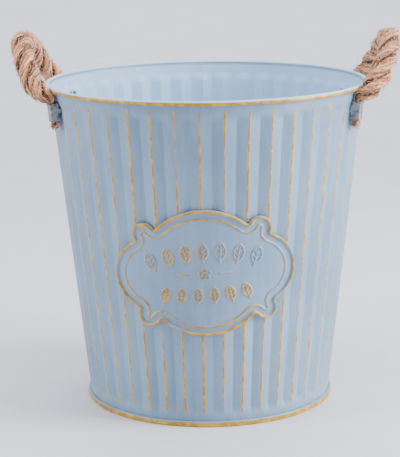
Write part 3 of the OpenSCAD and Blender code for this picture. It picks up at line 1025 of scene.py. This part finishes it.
for side_name, side in SIDES.items():
    for end_name, end in (("front", -1), ("rear", 1)):
        clip = bent_clip(f"{side_name}_{end_name}_clip_strap", side, end)
print("made four clips,", len(clip.data.polygons), "faces each before their edges are rounded")

# %% [markdown]
# ## Rope handles
# A laid rope is three strands twisted together, and each strand is yarns twisted the other way. So the mesh
# follows three screw lines round the rope's centreline, each with a round, slightly lobed section. Where a
# clip squeezes the rope it is thin, and it swells to its full thickness a little way out. The mesh also
# carries a map along each strand, painted shade by how deep in the valleys a point lies, and which way its
# fibres run.

# %% Rope strands
LAY = 60 * MM
STRANDS = 3
AROUND = 30
FULLNESS = 1.11
# By distance out of a clip, in mm: share of the full thickness, and how far the middle moves off the rim
GROWTH = [(-3, 0), (0, 0.16), (3, 0.36), (6, 0.56), (11, 0.84), (15, 1)]
OFF_RIM = [(-4, 0), (1, 0.8), (5, 1.6), (10, 1.0), (16, 0)]
print("the rope is", round(ROPE_D * FULLNESS / MM, 1), "mm thick over its strands")


def turned_frames(line):
    """Directions along the line, and two across it that turn as little as they can."""
    ahead = unit(np.gradient(line, axis=0))
    side = np.cross(ahead[0], (0, 0, 1.0))
    sides = []
    for d in ahead:
        side = side - d * (side @ d)
        side /= np.linalg.norm(side)
        sides.append(side)
    sides = np.array(sides)
    return ahead, sides, np.cross(ahead, sides)


def unit(ways):
    """The same directions, each one long."""
    return ways / np.linalg.norm(ways, axis=1)[:, None]


def swollen_rope(line, along):
    """The rope's middle line and radius: thin in the clips, and growing outwards out of them."""
    high = np.nonzero(line[:, 2] >= BEND_Z)[0]
    past = np.minimum(along - along[high[0]], along[high[-1]] - along) / MM
    radius = SQUEEZED_D / 2 + (ROPE_D * FULLNESS - SQUEEZED_D) / 2 * np.interp(past, *zip(*GROWTH))
    # beside the rim the rope can only swell outwards, so its middle moves away from the rim
    away = line * (1, 1, 0) / np.hypot(line[:, 0], line[:, 1])[:, None] * 0.8 - (0, 0, 0.6)
    return line + away * (np.interp(past, *zip(*OFF_RIM)) * MM)[:, None], radius

# %% [markdown]
# ### Laying the strands
# Each strand is a ring of points carried along its own screw line. The ring is a little lumpy, has grooves
# for its yarns, and is pressed flat where it meets the other two.

# %% Strands on the rope's line
STRAND_OUT, STRAND_R = 0.50, 0.54     # shares of the rope's radius
YARNS, YARN_TURN, YARN_DEPTH = 7, 1.3, 0.075
STRAND_ROUND, FIBRE_SLANT = 0.027, 0.25


def one_strand(line, along, radius, turn, strand, chance):
    """Rings of points round one strand, painted shade by how deep in the valleys they lie, and the fibres'
    way.
    """
    ahead, over, across = turned_frames(line)
    # strands wander a little and vary in thickness, as hand-laid ones do
    wander = np.interp(along, np.linspace(0, along[-1], 14), chance.uniform(-0.09, 0.09, 14))
    plump = 1 + np.interp(along, np.linspace(0, along[-1], 16), chance.uniform(-0.05, 0.05, 16))
    phase = turn + 2 * np.pi * strand / STRANDS + 0.4 + wander
    out = over * np.cos(phase)[:, None] + across * np.sin(phase)[:, None]
    middle = line + out * (radius * STRAND_OUT)[:, None]
    screw = unit(np.gradient(middle, axis=0))
    outwards = unit(out - screw * (out * screw).sum(1)[:, None])
    sideways = np.cross(screw, outwards)
    # yarns: shallow grooves that screw the other way
    angles = np.linspace(0, 2 * np.pi, AROUND, endpoint=False)
    yarn = np.cos(YARNS * (angles[None] + YARN_TURN * turn[:, None]) + 2 * strand)
    lumps = chance.normal(0, 1, (len(line) // 3 + 2, AROUND))
    rough = np.stack([np.interp(np.arange(len(line)), np.arange(len(lumps)) * 3, lumps[:, k])
                      for k in range(AROUND)], 1)
    size = (radius * STRAND_R * plump)[:, None] * (1 - YARN_DEPTH * (1 - yarn) + 0.03 * rough)
    # strands press flat against each other inside the rope
    facing_out = -np.cos(angles)[None]
    size = size * (1 - 0.14 * np.clip(-facing_out, 0, 1) ** 2)
    ring = outwards[:, None] * facing_out[..., None] + sideways[:, None] * np.sin(angles)[None, :, None]
    points = middle[:, None] + size[..., None] * ring
    # painted shade for the finish: deepest on a strand's side that faces into the rope, and in the yarns'
    # grooves
    valley = np.clip(0.55 - 0.62 * facing_out + 0.10 * (1 - yarn), 0, 1)
    return points.reshape(-1, 3), valley.ravel(), np.repeat(unit(ahead * 0.8 + screw * 0.6), AROUND, 0)

# %% [markdown]
# The streaks of the finish need a map that runs along each strand, and all three strands make one mesh.

# %% Rope mesh
def strand_uv(along, strand):
    """The map for a strand's faces and two end caps: U runs along it, V round it with the fibres."""
    u = np.repeat((along + strand)[:, None], AROUND + 1, 1)
    v = np.arange(AROUND + 1) / AROUND * STRAND_ROUND + FIBRE_SLANT * along[:, None]
    grid = np.stack([u, v], -1)
    sides = np.stack([grid[:-1, :-1], grid[:-1, 1:], grid[1:, 1:], grid[1:, :-1]], 2)
    caps = [(u[i, 0], 0.001 * j) for i in (0, -1) for j in range(AROUND)]
    return np.concatenate([sides.reshape(-1, 2), caps])


def rope_mesh(name, line, along, seed):
    """Three twisted strands along a line."""
    chance = np.random.default_rng(seed)
    line, radius = swollen_rope(line, along)
    lay_here = LAY * np.interp(radius, (SQUEEZED_D / 2, ROPE_D / 2), (0.6, 1))
    turn = 2 * np.pi * np.cumsum(np.r_[0, np.diff(along)] / lay_here)
    strands, faces = [], []
    for strand in range(STRANDS):
        strands.append(one_strand(line, along, radius, turn, strand, chance))
        first = strand * len(line) * AROUND
        last = first + (len(line) - 1) * AROUND
        faces += quads(len(line), AROUND, closed=True, first=first)
        faces += [tuple(range(first, first + AROUND))[::-1], tuple(range(last, last + AROUND))]
    points, valley, lie = (np.concatenate(kind) for kind in zip(*strands))
    made = new_mesh_object(name, points, faces, ROPE_FIBRE)
    strand_map = np.concatenate([strand_uv(along, strand) for strand in range(STRANDS)])
    made.data.uv_layers.new(name="strand").data.foreach_set("uv", strand_map.astype(np.float32).ravel())
    store(made.data, "valley", valley)
    store(made.data, "lie", lie)
    return made

# %% [markdown]
# ### Loose fibres
# Coarse plant-fibre rope is hairy: short ends stand off its surface all over, and the cut ends fray. A
# Geometry Nodes tree scatters one thin, bent fibre over the rope's skin. Each is turned to run with the
# rope's own fibres, leans a little off the skin, and has a size of its own. The same tree makes the frayed
# ends, where the fibres are close together and point down.

# %% Start of the tree that scatters fibres
fibre_tree, given = start_shape_tree("scatter_fibres", {
    "Fibres per square metre": "Float", "Fibre": "Object", "Shortest": "Float", "Longest": "Float",
    "Lift": "Float", "Spread": "Float", "Seed": "Int", "Finish": "Material"})
in_fibres = partial(put, fibre_tree)


def by_chance(low, high, seed):
    """A random number, or a random direction, for each fibre."""
    is_number = not isinstance(low, tuple)
    made = in_fibres("FunctionNodeRandomValue", {"Min": low, "Max": high, "Seed": seed},
                     data_type="FLOAT" if is_number else "FLOAT_VECTOR")
    return Output(fibre_tree, made.outputs[1 if is_number else 0])


def scaled(way, factor):
    """A direction made longer or shorter."""
    return in_fibres("ShaderNodeVectorMath", {0: way, "Scale": factor}, operation="SCALE").outputs[0]


def added(way, other):
    """Two directions added."""
    return in_fibres("ShaderNodeVectorMath", {0: way, 1: other}, operation="ADD").outputs[0]


def kept_way(name):
    """A direction stored on the mesh or on the points."""
    made = in_fibres("GeometryNodeInputNamedAttribute", {"Name": name}, data_type="FLOAT_VECTOR")
    return made.outputs["Attribute"]

# %% [markdown]
# A fibre's way is made of three parts: along the rope's own fibres or straight back, off the skin by a chance
# amount that is mostly small, and a stray part that can point anywhere.

# %% Fibres on the skin
spots = in_fibres("GeometryNodeDistributePointsOnFaces",
                  {"Mesh": given["Geometry"], "Density": given["Fibres per square metre"],
                   "Seed": given["Seed"]})
run = scaled(kept_way("lie"), by_chance(-1.0, 1.0, 5).then("SIGN"))
lean = scaled(spots.outputs["Normal"], by_chance(0.0, 1.0, 9).then("POWER", 2.0) * given["Lift"])
stray = scaled(by_chance((-1, -1, -1), (1, 1, 1), 3), given["Spread"])
# the way is read where the fibre stands, so it is kept on the points first
points_kept = in_fibres("GeometryNodeStoreNamedAttribute",
                        {"Geometry": spots.outputs["Points"], "Name": "way",
                         "Value": added(added(run, lean), stray)},
                        data_type="FLOAT_VECTOR", domain="POINT").outputs[0]
aligned = in_fibres("FunctionNodeAlignRotationToVector", {"Vector": kept_way("way")}, axis="Z").outputs[0]
roll = in_fibres("FunctionNodeEulerToRotation", {0: by_chance((0, 0, 0), (0, 0, 6.28), 7)}).outputs[0]
turned_fibre = in_fibres("FunctionNodeRotateRotation", {"Rotation": aligned, "Rotate By": roll},
                         rotation_space="LOCAL").outputs[0]
length = by_chance(given["Shortest"], given["Longest"], 12)
fibre_scale = in_fibres("ShaderNodeCombineXYZ", {0: 1.0, 1: 1.0, 2: length}).outputs[0]
fibre_shape = in_fibres("GeometryNodeObjectInfo", {"Object": given["Fibre"]}).outputs["Geometry"]
stood = in_fibres("GeometryNodeInstanceOnPoints", {"Points": points_kept, "Instance": fibre_shape,
                                                   "Rotation": turned_fibre, "Scale": fibre_scale})
end_shape_tree(fibre_tree, stood.outputs[0], given["Finish"])
print("the fibre tree has", len(fibre_tree.nodes), "nodes")

# %% [markdown]
# Thousands of fibres are scattered, so one of them has only ten points: three sides that bend over and meet
# in a tip.

# %% One fibre
# Height as a share of the length, thickness and how far it has bent over, in mm
FIBRE_RINGS = [(0, 0.18, 0), (0.35, 0.17, 0.3), (0.7, 0.13, 0.9)]
TIP_BEND = 1.5


def one_fibre():
    """A thin bent fibre, one unit long, standing on the origin: three sides, tapered to a point."""
    points = [((r * math.cos(t) + bend) * MM, r * math.sin(t) * MM, z) for z, r, bend in FIBRE_RINGS
              for t in (k * 2 * math.pi / 3 for k in range(3))]
    tip = [(6 + k, 6 + (k + 1) % 3, 9) for k in range(3)]
    return new_mesh_object("one_fibre", points + [(TIP_BEND * MM, 0, 1)],
                           quads(len(FIBRE_RINGS), 3, closed=True) + tip + [(2, 1, 0)])


fibre = one_fibre()
print("one fibre has", len(fibre.data.polygons), "faces")

# %% [markdown]
# ### Frayed ends
# Below each clip the strands open into a short brush. A small cone under the rope end gives the fibres
# their places, and they all point down and a little outwards.

# %% Cone for a frayed end
# Rings of the cone that a frayed end stands on: radius and height from the clip's middle, in mm
CONE_RINGS = [(1.6, -6.0), (2.6, -7.4), (3.1, -9.2), (2.4, -11.0), (1.0, -11.6)]
CONE_STEPS = 16
SKIN_FIBRES = {"Fibres per square metre": 380000.0, "Shortest": 3 * MM, "Longest": 8 * MM,
               "Lift": 1.6, "Spread": 0.55}
END_FIBRES = {"Fibres per square metre": 900000.0, "Shortest": 3.5 * MM, "Longest": 6 * MM,
              "Lift": 0.25, "Spread": 0.25}


def brush_cone(side, end):
    """A small cone under a rope end for the frayed fibres to stand on."""
    place = clip_frame(side, end)
    points, lie = [], []
    for r, z in CONE_RINGS:
        for t in (2 * math.pi * k / CONE_STEPS for k in range(CONE_STEPS)):
            points.append(place @ Vector((STANDOFF + r * MM * math.cos(t), r * MM * math.sin(t), z * MM)))
            way = Vector((0.3 * r / 4 * math.cos(t), 0.3 * r / 4 * math.sin(t), -1))
            lie.append(place.to_3x3() @ way)
    faces = [(b, a, d, c) for a, b, c, d in quads(len(CONE_RINGS), CONE_STEPS, closed=True)]
    faces.append(tuple(range(len(points) - CONE_STEPS, len(points)))[::-1])
    faces.append(tuple(range(CONE_STEPS)))
    cone = new_mesh_object("brush_cone", points, faces)
    store(cone.data, "lie", lie)
    return cone

# %% [markdown]
# The rope bends right above the clips, where its handle's hinge is. Each rope gets loose fibres over its skin
# and at both frayed ends, and one handle's fibres are joined into one object.

# %% Make the ropes
def joined(name, objects, finish):
    """Several meshes made into one object."""
    work = bmesh.new()
    for part in objects:
        work.from_mesh(part.data)
        drop(part)
    mesh = bpy.data.meshes.new(name)
    work.to_mesh(mesh)
    work.free()
    return smooth_object(name, mesh, finish)


def fibres_on(source, sizes, seed, name):
    """Scatters fibres over an object."""
    return run_shape_tree(fibre_tree, source,
                          {"Fibre": fibre, "Finish": LOOSE_FIBRE, **sizes, "Seed": seed}, name)


for side_name, side in SIDES.items():
    line, along = rope_line(side)
    rope = rope_mesh(f"{side_name}_rope", line, along, 20 + side)
    hairs = [fibres_on(rope, SKIN_FIBRES, 40 + side, f"{side_name}_skin_fibres")]
    for end in (-1, 1):
        cone = brush_cone(side, end)
        hairs.append(fibres_on(cone, END_FIBRES, 50 + side + 3 * end, f"{side_name}_frayed_end"))
        drop(cone)
    fibres = joined(f"{side_name}_rope_fibres", hairs, LOOSE_FIBRE)
    print(fibres.name, "has", len(fibres.data.polygons), "faces; rope has", len(rope.data.polygons))
    start = (side * BEND_X, 0, BEND_Z - 3 * MM)
    end_of_bend = (side * BEND_X, 0, BEND_Z + 6 * MM)
    for piece in (rope, fibres):
        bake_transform(piece)
    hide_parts(f"{side_name}_rope_loop", f"{side_name}_front_rope_end", f"{side_name}_rear_rope_end")
drop(fibre)

# %% [markdown]
# ## Floor and light
# A plain pale floor bends up into a backdrop far behind, so there is no hard edge behind the bucket and it
# can be seen from every side. The light is soft and comes from both sides, more from the right, with only a
# weak one from above: that is what shows the pleats, because each pleat has one face turned to a light and
# one turned away. A wide lamp over the far floor keeps the backdrop bright.

# %% Floor
FLOOR_HALF_WIDTH, FLOOR_FRONT, FLOOR_BACK = 4.5, -4.5, 3.4
FLOOR_CURVE, BACKDROP_TOP = 0.7, 2.6
PAPER_DARK = (0.70, 0.715, 0.79, 1)
PAPER_PALE = (0.75, 0.76, 0.83, 1)


def studio_floor():
    """A floor that curves up into a backdrop."""
    curve = [(FLOOR_BACK + FLOOR_CURVE * math.sin(t), FLOOR_CURVE - FLOOR_CURVE * math.cos(t))
             for t in np.linspace(0.05, math.pi / 2, 16)]
    profile = [(FLOOR_FRONT, 0.0), (FLOOR_BACK, 0.0)] + curve + [(FLOOR_BACK + FLOOR_CURVE, BACKDROP_TOP)]
    points = [(x, y, z) for y, z in profile for x in (-FLOOR_HALF_WIDTH, FLOOR_HALF_WIDTH)]
    material, tree, shader, place = start_finish("floor_paper")
    grain = ramp(tree, noise(tree, place, 6, detail=3), 0.3, 0.7)
    fill(tree, shader, {"Base Color": mix_colours(tree, grain, PAPER_DARK, PAPER_PALE), "Roughness": 0.7})
    return new_mesh_object("studio_floor", points, quads(len(profile), 2, closed=False), material)


studio_floor()
print("the floor is", 2 * FLOOR_HALF_WIDTH, "m wide")

# %% [markdown]
# The lamps are large and near, which keeps their edges soft on the paint. A pale world fills in the rest.

# %% Light
# Name: place, what it is aimed at, width and height, watts
LIGHTS = {"right_softbox": ((1.6, -0.35, 0.8), (0, 0, 0.15), (0.9, 1.4), 72),
          "left_softbox": ((-1.6, -0.5, 0.8), (0, 0, 0.15), (0.9, 1.4), 28),
          "top_softbox": ((0, -0.2, 1.9), (0, 0, 0.2), (2.0, 1.6), 34),
          "far_softbox": ((0, 2.9, 2.2), (0, 2.9, 0), (4.5, 2.4), 120)}
SKY = (0.84, 0.89, 1.0, 1)
SKY_STRENGTH = 0.22

for name, (place, aim, (width, height), watts) in LIGHTS.items():
    lamp = bpy.data.lights.new(name, "AREA")
    lamp.shape, lamp.size, lamp.size_y, lamp.energy = "RECTANGLE", width, height, watts
    towards = Vector(aim) - Vector(place)
    placed_in_scene(name, lamp).matrix_world = (Matrix.Translation(place)
                                                @ towards.to_track_quat("-Z", "Y").to_matrix().to_4x4())

world = bpy.data.worlds.new("studio")
bpy.context.scene.world = world
world.use_nodes = True
background = next(n for n in world.node_tree.nodes if n.type == "BACKGROUND")
fill(world.node_tree, background, {"Color": SKY, "Strength": SKY_STRENGTH})
print("lights are up:", ", ".join(LIGHTS))
